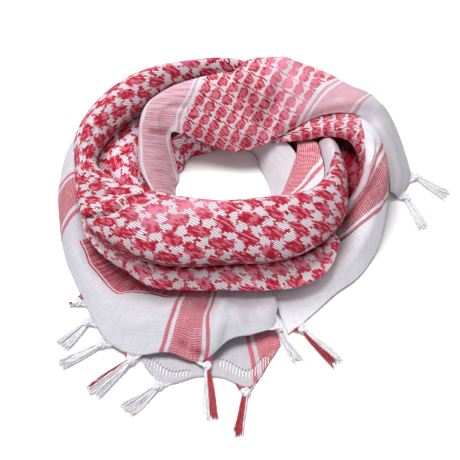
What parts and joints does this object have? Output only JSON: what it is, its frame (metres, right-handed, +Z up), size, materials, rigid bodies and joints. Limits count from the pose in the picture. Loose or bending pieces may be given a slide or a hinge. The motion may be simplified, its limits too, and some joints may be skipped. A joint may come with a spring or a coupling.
{
  "type": "keffiyeh headscarf",
  "caption": "Red and white woven keffiyeh headscarf wound into a ring and laid flat, with knotted tassels along its spread corners.",
  "frame": {"origin": "middle of the whole outline, on the surface that the scarf lies on", "axes": "+Z up from that surface, -Y towards the spread front corner with its tassels, +X to the right of someone facing that corner"},
  "size_m": [0.4145, 0.4303, 0.0998],
  "materials": {
    "patterned_cotton": "matte woven cotton with a red and white pattern",
    "striped_cotton": "matte woven cotton, red and white threads mixed",
    "white_cotton": "matte thin cotton voile",
    "white_tassel": "matte twisted cotton threads",
    "red_tassel": "matte twisted cotton threads"
  },
  "bodies": {
    "root": {"hidden_layers": "patterned_cotton", "front_roll": "patterned_cotton", "front_fold": "patterned_cotton", "back_panel": "patterned_cotton", "back_lower_layer": "striped_cotton", "left_hollow": "patterned_cotton", "right_inner_band": "striped_cotton", "right_inner_white": "white_cotton", "right_wrap": "white_cotton", "apron": "white_cotton", "under_skirt": "white_cotton", "back_wall": "white_cotton", "tassel_left_tip": "red_tassel", "tassel_left_upper": "white_tassel", "tassel_left_lower": "white_tassel", "tassel_front_left": "white_tassel", "tassel_front": "red_tassel", "tassel_front_right": "white_tassel", "tassel_under_left": "white_tassel", "tassel_under_right": "red_tassel", "tassel_wrap": "white_tassel", "tassel_tail_upper": "white_tassel", "tassel_tail_lower": "white_tassel"}
  },
  "joints": []
}
